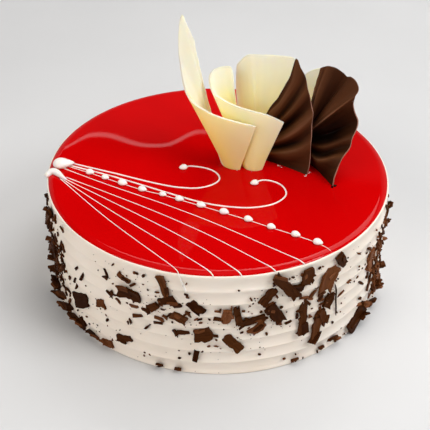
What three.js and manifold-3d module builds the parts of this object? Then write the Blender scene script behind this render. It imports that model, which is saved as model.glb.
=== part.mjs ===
// A round strawberry gateau: a cream-coated cake with a combed side, a red mirror glaze with
// piped lines, scrolls and beads on top, thin chocolate curls and fans standing in the glaze, and
// chocolate shavings pressed into the cream. Millimetres, +Z up, the front of the cake towards -Y.
// The origin is the middle of the flat underside.

import * as THREE from "three";
import { mergeVertices } from "three/addons/utils/BufferGeometryUtils.js";
import Module from "manifold-3d";

// Cake and glaze
const CAKE_RADIUS = 106;
const CREAM_TOP = 72.6;
const CREAM_LIP = 2;
const COMB_BANDS = 7;
const COMB_PITCH = 8.8;
const COMB_DEPTH = 1;
const FOOT_CHAMFER = 1;
const GLAZE_RADIUS = 104.6;
const GLAZE_TOP = 74;
const GLAZE_ROUNDING = 4;
const ROUND_STEPS = 56;
const GAP = 0.3;

// Chocolate
const CURL_THICKNESS = 1.2;
const FAN_THICKNESS = 1;
const SHAVING_THICKNESS = 1.5;
const SHAVING_SINK = 0.7;
const SHAVING_FLOOR_CLEARANCE = 0.4;

// Piping
const LINE_WIDTH = 0.9;
const SCROLL_WIDTH = 1.2;
const BEAD_DIAMETER = 4.8;
const SCROLL_STEPS = 32;
const LINE_STEPS = 10;

const COLOURS = {
  cream: 0xe9e1d4,
  glaze: 0xd40a10,
  whiteChocolate: 0xefe3bf,
  darkChocolate: 0x3a2019,
};

const wasm = await Module();
wasm.setup();

// Repeatable draws: a multiplicative generator, so the same seed gives the same shavings
const DRAW_FACTOR = 48271;
const DRAW_MODULUS = 2147483647;
let drawState = 20261;

function draw(low, high) {
  drawState = (drawState * DRAW_FACTOR) % DRAW_MODULUS;
  return low + ((high - low) * drawState) / DRAW_MODULUS;
}

function radians(degrees) {
  return (degrees * Math.PI) / 180;
}

function vectors(points) {
  return points.map((point) => new THREE.Vector3(...point));
}

// Joining solids

function toSolid(geometry) {
  const bare = geometry.clone();
  bare.deleteAttribute("normal");
  bare.deleteAttribute("uv");
  const merged = mergeVertices(bare, 1e-4);
  const corners = merged.index.array;
  const kept = [];
  for (let i = 0; i < corners.length; i += 3) {
    const [a, b, c] = corners.slice(i, i + 3);
    if (a !== b && b !== c && c !== a) {
      kept.push(a, b, c);
    }
  }
  const mesh = new wasm.Mesh({
    numProp: 3,
    vertProperties: Float32Array.from(merged.attributes.position.array),
    triVerts: Uint32Array.from(kept),
  });
  return new wasm.Manifold(mesh);
}

function toGeometry(solid) {
  const mesh = solid.getMesh();
  const geometry = new THREE.BufferGeometry();
  geometry.setAttribute("position", new THREE.BufferAttribute(Float32Array.from(mesh.vertProperties), 3));
  geometry.setIndex(largestShell(mesh.triVerts, mesh.vertProperties.length / 3));
  return geometry;
}

// The triangles of the largest closed shell: sealed hollows are filled and loose scraps dropped
function largestShell(corners, count) {
  const parent = Array.from({ length: count }, (_, i) => i);
  const root = (i) => {
    while (parent[i] !== i) {
      parent[i] = parent[parent[i]];
      i = parent[i];
    }
    return i;
  };
  for (let i = 0; i < corners.length; i += 3) {
    parent[root(corners[i])] = root(corners[i + 1]);
    parent[root(corners[i + 1])] = root(corners[i + 2]);
  }
  const shells = new Map();
  for (let i = 0; i < corners.length; i += 3) {
    const key = root(corners[i]);
    if (!shells.has(key)) {
      shells.set(key, []);
    }
    shells.get(key).push(...corners.slice(i, i + 3));
  }
  return [...shells.values()].sort((a, b) => b.length - a.length)[0];
}

function joinAll(geometries) {
  return toGeometry(geometries.map(toSolid).reduce((joined, solid) => joined.add(solid)));
}

function lathe(profile) {
  const points = profile.map(([r, z]) => new THREE.Vector2(r, z));
  return new THREE.LatheGeometry(points, ROUND_STEPS).rotateX(Math.PI / 2);
}

// Cream-coated cake: shallow scallops from the comb, a plain band above them and a rounded lip

function creamProfile() {
  const profile = [[0, 0], [CAKE_RADIUS - FOOT_CHAMFER, 0], [CAKE_RADIUS, FOOT_CHAMFER]];
  for (let band = 0; band < COMB_BANDS; band += 1) {
    profile.push([CAKE_RADIUS - COMB_DEPTH, (band + 0.5) * COMB_PITCH]);
    profile.push([CAKE_RADIUS, (band + 1) * COMB_PITCH]);
  }
  profile.push([CAKE_RADIUS - CREAM_LIP / 4, CREAM_TOP - CREAM_LIP / 2]);
  profile.push([CAKE_RADIUS - CREAM_LIP, CREAM_TOP], [0, CREAM_TOP]);
  return profile;
}

// A shaving is a thin broken plate: uneven corners, bent a little along its length
const SHAVING_CORNERS = [[-1, -1], [0.1, -1], [1, -0.8], [0.9, 1], [-1, 0.9]];
const SHAVING_BEND = 0.14;

function shavingPlate(length, width) {
  const outline = SHAVING_CORNERS.map(([along, across]) => {
    const x = (along * length * draw(0.76, 1)) / 2;
    const y = (across * width * draw(0.64, 1)) / 2;
    return new THREE.Vector2(x, y);
  });
  const plate = new THREE.ExtrudeGeometry(new THREE.Shape(outline), {
    depth: SHAVING_THICKNESS,
    bevelEnabled: false,
  });
  const bend = draw(0, SHAVING_BEND) / length;
  const place = plate.attributes.position;
  for (let i = 0; i < place.count; i += 1) {
    place.setZ(i, place.getZ(i) - SHAVING_SINK + bend * place.getX(i) ** 2);
  }
  return plate;
}

// Sets a shaving on the side: angle from the front, positive to the right, height, turn in the
// surface, and lift of its upper edge away from the cream
function onSide(plate, angle, height, turn, lift) {
  const around = radians(angle);
  const outward = new THREE.Vector3(Math.sin(around), -Math.cos(around), 0);
  const sideways = new THREE.Vector3(Math.cos(around), Math.sin(around), 0);
  const frame = new THREE.Matrix4().makeBasis(sideways, new THREE.Vector3(0, 0, 1), outward);
  frame.setPosition(outward.x * CAKE_RADIUS, outward.y * CAKE_RADIUS, height);
  frame.multiply(new THREE.Matrix4().makeRotationX(radians(lift)));
  frame.multiply(new THREE.Matrix4().makeRotationZ(radians(turn)));
  plate.applyMatrix4(frame);
  const place = plate.attributes.position;
  for (let i = 0; i < place.count; i += 1) {
    place.setZ(i, Math.max(place.getZ(i), SHAVING_FLOOR_CLEARANCE));
  }
  return plate;
}

// The broad shavings on the front half: angle, height, length, width, turn
const BROAD_SHAVINGS = [
  [-49, 25, 16, 12, 25], [-29, 61, 10, 3.5, -20], [-27, 51, 16, 10, -5], [-16, 63, 15, 5.5, -72],
  [-15, 53, 12, 6, 20], [-19, 47, 7, 6, 40], [-30, 15, 13, 5.5, 18], [-6, 51, 13, 7, -45],
  [-11, 42, 11, 6.5, -30], [-4, 32, 13, 11, 15], [-6, 15, 9, 4.5, 80], [-39, 33, 8, 6, 15],
  [3, 45, 11, 8, 80], [6.5, 45, 15, 5, -82], [11, 41, 19, 5, 20], [12.5, 34.5, 12, 7, 40],
  [5.5, 24, 17, 8, -50], [18, 43, 18, 9, -62], [15.5, 57, 14, 7.5, 50], [21, 61, 27, 7, -55],
  [28, 65, 13, 8, 85], [36, 56, 18, 12, 70], [25, 58, 9, 5.5, -15], [37, 40, 11, 7, 60],
  [27.5, 35, 29, 6, 88], [33, 23, 25, 7, 80], [35.5, 28, 14, 5.5, -75], [41.5, 65, 12, 7, -60],
  [59, 47, 14, 5.5, 80], [54, 7, 22, 14, 20], [-50, 4, 13, 9, 60], [-37, 4, 9, 6, 10],
];

// Drifts of smaller ones: middle angle and height, half spread of each, and how many
const SHAVING_DRIFTS = [
  [-77, 36, 9, 30, 13], [70, 30, 10, 30, 12], [118, 32, 16, 26, 4], [160, 26, 18, 22, 4],
  [-155, 32, 18, 24, 4], [-112, 30, 16, 26, 4],
];

// Those that stand out from the side or lean at the foot: angle, height, length, width, lift
const STANDING_SHAVINGS = [
  [-78, 33, 9, 5, 74], [-77, 20, 9, 6, 78], [-76, 13, 10, 6, 72], [-72, 4, 11, 7, 55], [-66, 6, 14, 10, 55],
  [-60, 5, 14, 10, 58], [-54, 5, 12, 9, 60], [-45, 4, 10, 7, 55], [-81, 52, 8, 4, 66], [-108, 66, 8, 4, 70],
  [-115, 66, 8, 4, 70], [78, 16, 9, 6, 70], [72, 8, 11, 7, 58], [60, 10, 13, 8, 52], [41, 6, 8, 5, 50],
];
const DRIFT_LENGTHS = [7, 14];
const DRIFT_SLIMNESS = [0.38, 0.68];
const DRIFT_TURNS = [20, 160];
const STANDING_TURNS = [55, 125];
const BROAD_LIFT = 9;
const DRIFT_LIFT = 30;

function shavings() {
  const broad = BROAD_SHAVINGS.map(([angle, height, length, width, turn]) => {
    const plate = shavingPlate(length, width);
    return onSide(plate, angle, height, turn, draw(-BROAD_LIFT, BROAD_LIFT));
  });
  const drifted = SHAVING_DRIFTS.flatMap(([angle, height, spread, rise, count]) =>
    Array.from({ length: count }, () => {
      const place = angle + spread * (draw(-0.5, 0.5) + draw(-0.5, 0.5));
      const level = height + rise * draw(-1, 1);
      const length = draw(...DRIFT_LENGTHS);
      const plate = shavingPlate(length, length * draw(...DRIFT_SLIMNESS));
      return onSide(plate, place, level, draw(...DRIFT_TURNS), draw(-DRIFT_LIFT, DRIFT_LIFT));
    }),
  );
  const standing = STANDING_SHAVINGS.map(([angle, height, length, width, lift]) => {
    const plate = shavingPlate(length, width);
    return onSide(plate, angle, height, draw(...STANDING_TURNS), lift);
  });
  return [...broad, ...drifted, ...standing];
}

// Glaze: a flat disc with a rounded shoulder, poured over the cream just inside its lip
const GLAZE_FOOT = CREAM_TOP + GAP;
const SHOULDER_START = GLAZE_RADIUS - GLAZE_ROUNDING;

function glazeHeight(radius) {
  const over = THREE.MathUtils.clamp((radius - SHOULDER_START) / GLAZE_ROUNDING, 0, 1);
  return GLAZE_FOOT + (GLAZE_TOP - GLAZE_FOOT) * Math.sqrt(1 - over * over);
}

function glazeProfile() {
  const profile = [[0, GLAZE_FOOT], [GLAZE_RADIUS - GLAZE_ROUNDING / 8, GLAZE_FOOT]];
  for (const degrees of [10, 36, 62, 90]) {
    const radius = SHOULDER_START + GLAZE_ROUNDING * Math.cos(radians(degrees));
    profile.push([radius, glazeHeight(radius)]);
  }
  profile.push([0, GLAZE_TOP]);
  return profile;
}

// A piped line lies on the glaze along a smooth path through a few plan points
function pipedLine(points, width, steps) {
  const plan = new THREE.SplineCurve(points.map(([x, y]) => new THREE.Vector2(x, y)));
  const laid = plan.getSpacedPoints(steps).map(({ x, y }) => {
    return new THREE.Vector3(x, y, glazeHeight(Math.hypot(x, y)) + width * 0.15);
  });
  const section = new THREE.Shape();
  section.absarc(0, 0, width / 2, 0, 2 * Math.PI);
  return new THREE.ExtrudeGeometry(section, {
    steps,
    extrudePath: new THREE.CatmullRomCurve3(laid),
    curveSegments: 3,
    bevelEnabled: false,
  });
}

// A drop of piping sits on the glaze as a flattened ball, drawn out along its turn
function pipedDrop([x, y], length, width, turn) {
  const drop = new THREE.SphereGeometry(0.5, 8, 5).rotateX(Math.PI / 2);
  drop.scale(length, width, width * 0.75);
  drop.rotateZ(radians(turn));
  return drop.translate(x, y, GLAZE_TOP + width * 0.28);
}

// Plan points of the strokes, which all spring from two drops on the left
const UPPER_DROP = { at: [-97.2, -0.9], length: 11, width: 9, turn: 8 };
const LOWER_DROP = { at: [-98.6, -11.3], length: 14, width: 5, turn: -33 };
const SCROLLS = [
  [[-94, 3.6], [-66.5, -7.1], [-38, -18.8], [-24.8, -22.6], [-11.7, -23], [-2.5, -18.6], [1, -12.9],
    [-1.1, -6], [-7.4, -1.1], [-18.6, 0.8], [-21.3, -1.4]],
  [[-94, 0.8], [-66.2, -11], [-10.4, -37.7], [4.7, -41.9], [19.6, -42.8], [31.8, -39.4], [38.8, -33.2],
    [41.1, -27.2], [38.7, -19], [32.7, -14.4], [26.5, -13.8], [22.5, -17.4]],
];
const STRAIGHT_LINES = [
  [[-97, -2.5], [-65, -21.6], [-10, -53.1], [47, -92.9]],
  [[-93, -13], [-64, -30.5], [-10, -66], [31, -99.4]],
  [[-94.5, -14], [-63.5, -37.8], [-9.6, -80.8], [12.8, -103.3]],
  [[-95.5, -14.5], [-62.8, -47], [-9.2, -97], [-2.4, -104]],
  [[-96.5, -14.5], [-61.8, -57.6], [-21, -102]],
];
const BEADS = [
  [-79, -8], [-69, -13.5], [-58, -19.5], [-45.5, -26], [-33, -31], [-23, -35.5],
  [-10, -41.5], [3.5, -48], [17.5, -55], [30.5, -62], [44, -69], [56, -76],
];
const BEAD_LINE_START = [-95, 0];
const BEAD_LINE_END = [63.5, -82.5];
const SCROLL_END_DROP = 3.2;
const BEAD_TURN = -27;

function piping() {
  const drops = [UPPER_DROP, LOWER_DROP].map(({ at, length, width, turn }) => {
    return pipedDrop(at, length, width, turn);
  });
  const scrolls = SCROLLS.map((points) => pipedLine(points, SCROLL_WIDTH, SCROLL_STEPS));
  const ends = SCROLLS.map((points) => pipedDrop(points.at(-1), SCROLL_END_DROP, SCROLL_END_DROP, 0));
  const lines = STRAIGHT_LINES.map((points) => pipedLine(points, LINE_WIDTH, LINE_STEPS));
  const beadLine = pipedLine([BEAD_LINE_START, ...BEADS, BEAD_LINE_END], LINE_WIDTH, LINE_STEPS * 2);
  const beads = BEADS.map((at) => pipedDrop(at, BEAD_DIAMETER, BEAD_DIAMETER * 0.9, BEAD_TURN));
  return [...drops, ...scrolls, ...ends, ...lines, beadLine, ...beads];
}

// Chocolate sheets: a surface given over u and v from 0 to 1, thickened by half each way along its
// normal, both faces split alike, and trimmed flat where it stands on the glaze
function sheet(surface, uSteps, vSteps, thickness) {
  const nudge = 1e-3;
  const floor = GLAZE_TOP + GAP;
  const places = [];
  for (const side of [0.5, -0.5]) {
    for (let i = 0; i <= uSteps; i += 1) {
      for (let j = 0; j <= vSteps; j += 1) {
        const [u, v] = [i / uSteps, j / vSteps];
        const across = surface(u + nudge, v).sub(surface(u - nudge, v));
        const along = surface(u, v + nudge).sub(surface(u, v - nudge));
        const normal = across.cross(along).normalize();
        const point = surface(u, v).addScaledVector(normal, side * thickness);
        places.push(point.x, point.y, Math.max(point.z, floor));
      }
    }
  }
  const row = vSteps + 1;
  const back = (uSteps + 1) * row;
  const corners = [];
  const quad = (a, b, c, d) => corners.push(a, b, c, a, c, d);
  for (let i = 0; i < uSteps; i += 1) {
    const low = i * row;
    const high = low + vSteps;
    quad(low + back, low + row + back, low + row, low);
    quad(high, high + row, high + row + back, high + back);
    for (let k = low; k < high; k += 1) {
      quad(k, k + row, k + row + 1, k + 1);
      corners.push(back + k, back + k + row + 1, back + k + row);
      corners.push(back + k, back + k + 1, back + k + row + 1);
    }
  }
  for (let j = 0; j < vSteps; j += 1) {
    const k = uSteps * row + j;
    quad(j, j + 1, j + 1 + back, j + back);
    quad(k + back, k + 1 + back, k + 1, k);
  }
  const geometry = new THREE.BufferGeometry();
  geometry.setAttribute("position", new THREE.Float32BufferAttribute(places, 3));
  geometry.setIndex(corners);
  return geometry;
}

// A curl rises from an arc in the glaze to a rim that sweeps round it like an open cone
function curl({ centre, radius, from, to, rim }) {
  const edge = new THREE.CatmullRomCurve3(vectors(rim));
  return (u, v) => {
    const turn = radians(from + (to - from) * u);
    const x = centre[0] + radius * Math.cos(turn);
    const y = centre[1] + radius * Math.sin(turn);
    return new THREE.Vector3(x, y, GLAZE_TOP).lerp(edge.getPoint(THREE.MathUtils.clamp(u, 0, 1)), v);
  };
}

// The height of a fan's folds at a place on its edge: straight runs between the given crests and
// hollows, rounded off by averaging over a short stretch
function foldHeight(u, folds) {
  const next = folds.findIndex(([place]) => place > u);
  if (next < 1) {
    return next === 0 ? folds[0][1] : folds.at(-1)[1];
  }
  const [[start, low], [end, high]] = folds.slice(next - 1, next + 1);
  return THREE.MathUtils.mapLinear(u, start, end, low, high);
}

function foldWave(u, folds, softness) {
  const heights = [-1, -0.5, 0, 0.5, 1].map((step) => foldHeight(u + softness * step, folds));
  return heights.reduce((sum, height) => sum + height) / heights.length;
}

// A fan spreads in folds from a short gather to a long edge, where the folds fade
function fan({ gather, edge, folds, softness, depth, fade }) {
  const [low, high] = vectors(gather);
  const outer = new THREE.CatmullRomCurve3(vectors(edge));
  const spread = outer.getPoint(1).sub(outer.getPoint(0));
  const reach = outer.getPoint(0.5).sub(low);
  const facing = spread.cross(reach).normalize();
  facing.multiplyScalar(-Math.sign(facing.y));
  return (u, v) => {
    const held = THREE.MathUtils.clamp(u, 0, 1);
    const point = low.clone().lerp(high, held).lerp(outer.getPoint(held), v);
    const swell = depth * v * (1 - fade * v * v);
    return point.addScaledVector(facing, swell * foldWave(u, folds, softness));
  };
}

const TALL_CURL = {
  centre: [12, 8],
  radius: 9.5,
  from: -82,
  to: -212,
  rim: [[22, -8, 109], [9, -9, 113], [-5, -5, 116], [-16, 3, 119], [-20.5, 9, 124], [-24, 16, 140],
    [-25, 19, 151.5], [-22.7, 22, 167], [-18.2, 22.5, 155], [-15.7, 22.5, 147]],
};
const SHORT_CURL = {
  centre: [22.5, 3.4],
  radius: 6.2,
  from: -45,
  to: -253,
  rim: [[39, -3, 109], [29, -4, 114.5], [19, -4, 117.5], [9.5, -1, 119], [2, 4, 120.5], [-3.5, 9, 122],
    [-6, 15, 128.5], [-4, 19, 132], [2, 21.6, 133], [7.2, 20.8, 132.6], [8.9, 19, 118.5],
    [9.5, 17, 109.8]],
};
const WHITE_FAN = {
  gather: [[21, 17, 74], [28, 16, 74]],
  edge: [[12.6, 27, 94.5], [10.8, 31, 114], [10.8, 31.5, 128.2], [11.1, 31.3, 129.8],
    [13.2, 30.1, 133.2], [15.4, 28.9, 136.4], [17.8, 28, 138.3], [27, 27.2, 138.6], [36.5, 27.6, 138],
    [46, 27, 136.2], [50, 26, 122]],
  folds: [[0, 0], [0.5, 0], [0.58, 0.3], [0.7, -0.3], [0.85, 0.2], [1, 0]],
  softness: 0.04,
  depth: 1.6,
  fade: 0.6,
};
const WHITE_FAN_BACK = {
  gather: [[56, 24, 74], [61, 23, 74]],
  edge: [[50, 27, 105], [51, 28, 122], [54, 28, 126.5], [62, 28, 129.5], [69, 27, 126], [72, 26, 112]],
  folds: [[0, 0.5], [0.2, -0.5], [0.4, 0.6], [0.7, -0.4], [1, 0.3]],
  softness: 0.05,
  depth: 2,
  fade: 0.6,
};
const DARK_FAN_LEFT = {
  gather: [[27, 11.5, 74], [26, 11, 92]],
  edge: [[54.9, -6.9, 74], [56.2, -5.5, 80.4], [56.5, -4, 90.3], [56.5, -3, 96.9], [56.3, -1, 106.2],
    [56.8, 0.5, 113.6], [55.7, 1.5, 117.2], [54.2, 3, 123.1], [52.8, 4.5, 128.3], [50.6, 6, 135.5],
    [48, 7, 140.2], [46.1, 8.5, 144.6], [44.9, 9, 145.6]],
  folds: [[0, 0], [0.12, -0.3], [0.25, 0.9], [0.31, -0.7], [0.39, 0.9], [0.52, -0.9], [0.63, 0.9],
    [0.75, -0.7], [0.9, 0.3], [1, 0.1]],
  softness: 0.05,
  depth: 7,
  fade: 0.95,
};
const DARK_FAN_RIGHT = {
  gather: [[56.5, 8.5, 74], [53, 10, 92]],
  edge: [[69.9, -18.7, 74], [70.2, -18, 79.4], [72.4, -15, 84.7], [75.8, -12, 90.7], [79.3, -9, 96],
    [80.8, -7, 101.1], [83, -4, 107], [82.7, -3, 110.6], [80.7, -1, 115.5], [79.8, 0, 120.4],
    [81.3, 1, 124.6], [83.3, 2, 128.8], [82.5, 2.5, 131.8], [79.9, 3, 135.5], [76.9, 4, 136.6],
    [75.3, 4.5, 136], [72.2, 5, 138.3], [68.5, 6, 141], [65.6, 7, 141.7], [62.7, 7.5, 141.4],
    [59.9, 8, 139.8]],
  folds: [[0, 0], [0.12, -0.3], [0.22, 0.7], [0.37, -1], [0.49, 1], [0.64, -0.2], [0.71, 0.35],
    [0.78, -0.4], [0.85, 0.3], [0.92, -0.7], [1, 0.6]],
  softness: 0.03,
  depth: 6,
  fade: 0.8,
};

// The scene graph

function piece(name, geometry, colour, roughness) {
  const material = new THREE.MeshStandardMaterial({ color: colour, roughness, metalness: 0 });
  const mesh = new THREE.Mesh(geometry, material);
  mesh.name = name;
  return mesh;
}

function whitePiece(name, geometry) {
  return piece(name, geometry, COLOURS.whiteChocolate, 0.45);
}

function darkPiece(name, geometry) {
  return piece(name, geometry, COLOURS.darkChocolate, 0.35);
}

const cake = new THREE.Group();
cake.add(
  piece("cake_body", joinAll([lathe(creamProfile()), ...shavings()]), COLOURS.cream, 0.6),
  piece("glaze", joinAll([lathe(glazeProfile()), ...piping()]), COLOURS.glaze, 0.08),
  whitePiece("white_curl_tall", sheet(curl(TALL_CURL), 27, 5, CURL_THICKNESS)),
  whitePiece("white_curl_short", sheet(curl(SHORT_CURL), 22, 5, CURL_THICKNESS)),
  whitePiece("white_fan", sheet(fan(WHITE_FAN), 20, 4, FAN_THICKNESS)),
  whitePiece("white_fan_back", sheet(fan(WHITE_FAN_BACK), 12, 4, FAN_THICKNESS)),
  darkPiece("dark_fan_left", sheet(fan(DARK_FAN_LEFT), 28, 4, FAN_THICKNESS)),
  darkPiece("dark_fan_right", sheet(fan(DARK_FAN_RIGHT), 40, 4, FAN_THICKNESS)),
);

export default cake;
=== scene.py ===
# %% [markdown]
# # A strawberry gateau
# A round cake wears a coat of whipped cream that was drawn smooth with a toothed comb. A red mirror
# glaze lies on top with fine piped lines on it, thin chocolate curls and fans stand in the glaze, and
# broken chocolate shavings cling to the side. The solids of the frame give every size. This script
# loads them and sets a finer piece in the place of each one.

# %% Load the frame
import math
import random

import bmesh
import bpy
import numpy as np
from mathutils import Matrix, Vector, noise


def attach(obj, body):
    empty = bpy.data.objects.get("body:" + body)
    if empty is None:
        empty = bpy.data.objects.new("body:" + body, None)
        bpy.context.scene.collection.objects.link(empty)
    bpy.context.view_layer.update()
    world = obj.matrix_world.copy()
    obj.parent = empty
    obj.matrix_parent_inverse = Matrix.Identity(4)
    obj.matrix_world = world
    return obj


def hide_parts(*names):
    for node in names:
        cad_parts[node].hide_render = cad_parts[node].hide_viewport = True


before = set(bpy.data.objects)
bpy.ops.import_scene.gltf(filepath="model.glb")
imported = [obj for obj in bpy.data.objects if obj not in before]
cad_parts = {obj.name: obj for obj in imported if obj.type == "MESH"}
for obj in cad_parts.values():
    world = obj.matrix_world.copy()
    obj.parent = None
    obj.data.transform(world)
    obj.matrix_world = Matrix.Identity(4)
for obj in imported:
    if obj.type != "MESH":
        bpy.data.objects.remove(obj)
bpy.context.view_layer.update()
MM = 0.001
print("solids:", sorted(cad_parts))

# %% [markdown]
# ## The view
# The cake is seen from the front and from well above, through a long lens, so its round top is an open
# ellipse. The camera could be aimed by a constraint. Here its matrix is written out, from the point that
# it looks at, the height of the eye and a slight tilt of the hand, so that nothing else can move it.

# %% Camera
EYE_ANGLE = 35.81
EYE_DISTANCE = 0.636
EYE_TILT = 0.763
LOOKED_AT = Vector((-0.00145, 0, 0.03765))
LENS = 82.69
SENSOR_WIDTH = 36

camera = bpy.data.objects.new("camera", bpy.data.cameras.new("camera"))
bpy.context.scene.collection.objects.link(camera)
camera.data.lens = LENS
camera.data.sensor_width = SENSOR_WIDTH
nod = Matrix.Rotation(math.radians(90 - EYE_ANGLE), 4, "X")
tilt = Matrix.Rotation(math.radians(EYE_TILT), 4, "Z")
away = Matrix.Translation((0, 0, EYE_DISTANCE))
camera.matrix_world = Matrix.Translation(LOOKED_AT) @ nod @ tilt @ away
bpy.context.scene.camera = camera
print("camera at", [round(value, 4) for value in camera.matrix_world.translation])

# %% [markdown]
# ## Helpers for finishes
# Each finish is a small tree of nodes on one Principled shader. Building such trees by hand repeats the
# same few moves, so short helpers make them: a node with its inputs set or linked, a colour ramp, a
# stretched noise, a change of range, a sum, a bump, and the reading of coordinates and of attributes.

# %% Node helpers


def new_finish(name):
    finish = bpy.data.materials.new(name)
    finish.use_nodes = True
    return finish, finish.node_tree, finish.node_tree.nodes["Principled BSDF"]


def node(tree, kind, inputs=None, **settings):
    made = tree.nodes.new(kind)
    for key, value in settings.items():
        setattr(made, key, value)
    join(tree, made, inputs or {})
    return made


def join(tree, made, inputs):
    for key, value in inputs.items():
        if isinstance(value, bpy.types.NodeSocket):
            tree.links.new(value, made.inputs[key])
        else:
            made.inputs[key].default_value = value


def ramp(tree, factor, stops):
    made = node(tree, "ShaderNodeValToRGB", {"Fac": factor})
    elements = made.color_ramp.elements
    while len(elements) < len(stops):
        elements.new(1)
    for element, (position, colour) in zip(elements, stops):
        element.position = position
        element.color = (*colour, 1)
    return made.outputs["Color"]


print("node helpers ready")

# %% Noise, range and place helpers


def grain(tree, place, stretch, detail=3.0):
    spread = node(tree, "ShaderNodeMapping", {"Vector": place, "Scale": stretch})
    settings = {"Vector": spread.outputs["Vector"], "Scale": 1, "Detail": detail, "Roughness": 0.5}
    return node(tree, "ShaderNodeTexNoise", settings).outputs["Fac"]


def between(tree, factor, low, high):
    made = node(tree, "ShaderNodeMapRange", {"Value": factor, "To Min": low, "To Max": high})
    return made.outputs["Result"]


def share_of(tree, value, start, end, full=1.0):
    ends = {"Value": value, "From Min": start, "From Max": end, "To Max": full}
    return node(tree, "ShaderNodeMapRange", ends).outputs["Result"]


def reckon(tree, operation, first, second):
    made = node(tree, "ShaderNodeMath", {0: first, 1: second}, operation=operation)
    return made.outputs["Value"]


def coordinates(tree, kind="Object"):
    return node(tree, "ShaderNodeTexCoord").outputs[kind]


def painted(tree, name, kind="Fac"):
    return node(tree, "ShaderNodeAttribute", attribute_name=name).outputs[kind]


def relief(tree, height, strength, depth):
    made = node(tree, "ShaderNodeBump", {"Height": height, "Strength": strength, "Distance": depth * MM})
    return made.outputs["Normal"]


print("finish helpers ready")

# %% [markdown]
# ## Floor and light
# The cake stands on a plain pale table under soft studio lamps: the main one on the right, a broad fill
# on the left, and three from above and behind. The one overhead is kept out of mirrors, or its square
# would show on the glaze. A glossy glaze shows whatever stands opposite the eye, so the room itself
# needs a form: a pale wall, low down, and darkness over it. On the left a soft bright line runs along
# the top of the wall, and on the right the wall climbs a little. Backdrops could be built for this.
# Ramps on the height of the sight line draw the same room with no object in it.

# %% Table
TABLE_HALF = 4.0
TABLE_TONES = [(0.3, (0.605, 0.599, 0.596)), (0.7, (0.64, 0.634, 0.631))]


def table_finish():
    finish, tree, shader = new_finish("pale_table")
    cloud = grain(tree, coordinates(tree), (5, 5, 5))
    join(tree, shader, {"Base Color": ramp(tree, cloud, TABLE_TONES)})
    join(tree, shader, {"Roughness": between(tree, cloud, 0.5, 0.65)})
    return finish


bm = bmesh.new()
bmesh.ops.create_grid(bm, x_segments=2, y_segments=2, size=TABLE_HALF)
mesh = bpy.data.meshes.new("table")
bm.to_mesh(mesh)
bm.free()
mesh.materials.append(table_finish())
table = bpy.data.objects.new("table", mesh)
bpy.context.scene.collection.objects.link(table)
print("table", 2 * TABLE_HALF, "m square")

# %% Lamps
bpy.context.scene.view_settings.view_transform = "Standard"


def softbox(name, place, aim, size, power, colour=(1, 1, 1), mirrored=True):
    lamp = bpy.data.lights.new(name, "AREA")
    lamp.shape = "RECTANGLE"
    lamp.size, lamp.size_y = size
    lamp.energy = power
    lamp.color = colour
    stand = bpy.data.objects.new(name, lamp)
    bpy.context.scene.collection.objects.link(stand)
    way = (Vector(aim) - Vector(place)).to_track_quat("-Z", "Y").to_matrix().to_4x4()
    stand.matrix_world = Matrix.Translation(place) @ way
    stand.visible_glossy = mirrored
    print(name, power, "W")


softbox("key", (0.97, -0.42, 1.0), (0, 0, 0.05), (0.6, 0.6), 10.7, (0.955, 0.98, 1))
softbox("top", (0.35, 0.0, 1.3), (0.03, 0, 0.05), (0.8, 0.5), 5.2, mirrored=False)
softbox("strip", (0.0, 1.0, 1.34), (0, 0, 0.05), (0.8, 0.4), 3.3)
softbox("back", (0.6, 0.65, 1.15), (0, 0, 0.05), (1.0, 0.7), 5.5)
softbox("fill", (-0.95, -0.95, 0.9), (0, 0, 0.04), (1.2, 0.9), 12.0, (1, 0.965, 0.92))

# %% Room
ROOM_POWER = 8.0
ROOM = [
    (0.0, 0.055), (0.4, 0.045), (0.47, 0.032), (0.51, 0.032), (0.52, 0.004), (0.72, 0.004), (0.9, 0.025),
    (1.0, 0.07),
]
WALL_CLIMB = 0.034
CLIMB_REACH = 0.14
LINE = [(0.0, 0.0), (0.38, 0.0), (0.46, 0.62), (0.54, 0.62), (0.62, 0.0)]
LINE_BAND = (0.505, 0.525)
LINE_FADE = (0.03, -0.03)


def greys(stops):
    return [(place, (tone, tone, tone)) for place, tone in stops]


world = bpy.data.worlds.new("studio")
bpy.context.scene.world = world
world.use_nodes = True
room = world.node_tree
sight = node(room, "ShaderNodeSeparateXYZ", {"Vector": coordinates(room, "Generated")}).outputs
climb = share_of(room, sight["X"], 0, CLIMB_REACH, WALL_CLIMB)
height = reckon(room, "SUBTRACT", sight["Z"], climb)
wall = ramp(room, height, greys(ROOM))
line = ramp(room, share_of(room, height, *LINE_BAND), greys(LINE))
fade = share_of(room, sight["X"], *LINE_FADE)
faded = node(room, "ShaderNodeVectorMath", {0: line, "Scale": fade}, operation="SCALE")
both = node(room, "ShaderNodeVectorMath", {0: wall, 1: faded.outputs["Vector"]}, operation="ADD")
join(room, room.nodes["Background"], {"Color": both.outputs["Vector"], "Strength": ROOM_POWER})
print("room tones:", len(ROOM))

# %% [markdown]
# ## Helpers for pieces
# Everything is modelled in millimetres and scaled to metres once, as it becomes an object. Smooth paths
# run through a few given points, in the same way as the curves of the solids, so that a finer piece
# keeps the form of the solid that it stands for.

# %% Piece helper


def set_in_place(bm, name, solids, slot, finish, crisp=180):
    bmesh.ops.scale(bm, vec=(MM, MM, MM), verts=bm.verts)
    made = bpy.data.meshes.new(name)
    bm.to_mesh(made)
    bm.free()
    made.materials.append(finish)
    made.shade_smooth()
    made.set_sharp_from_angle(angle=math.radians(crisp))
    piece = bpy.data.objects.new(name, made)
    bpy.context.scene.collection.objects.link(piece)
    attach(piece, "root")
    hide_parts(*solids)
    print(name, len(made.vertices), "points,", len(made.polygons), "faces")
    return piece


print("1 mm is", MM, "m")

# %% Smooth path


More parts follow.
